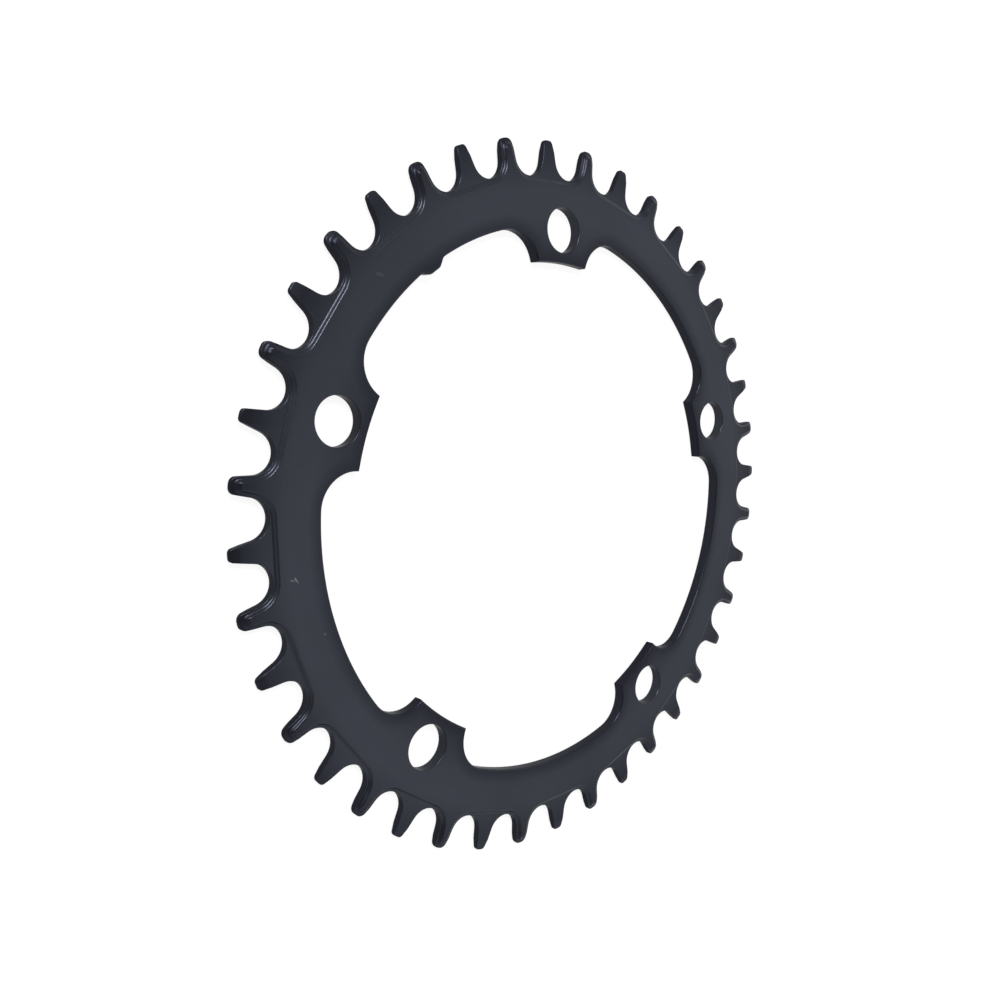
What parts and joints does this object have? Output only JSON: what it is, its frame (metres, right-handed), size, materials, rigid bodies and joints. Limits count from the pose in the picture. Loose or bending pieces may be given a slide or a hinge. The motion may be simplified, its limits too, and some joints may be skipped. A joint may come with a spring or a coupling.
{
  "type": "bicycle chainring",
  "caption": "Flat toothed ring that drives a bicycle chain, with thick and thin teeth in turn and inward tabs with bolt holes around an open centre.",
  "frame": {"origin": "on the ring's axis, at the back face that it lies on", "axes": "+Z along the ring's axis, out of the front face; +Y through a bolt hole"},
  "size_m": [0.1696, 0.1696, 0.003],
  "materials": {
    "black_metal": "satin black anodised"
  },
  "bodies": {
    "root": {"chainring": "black_metal"}
  },
  "joints": []
}
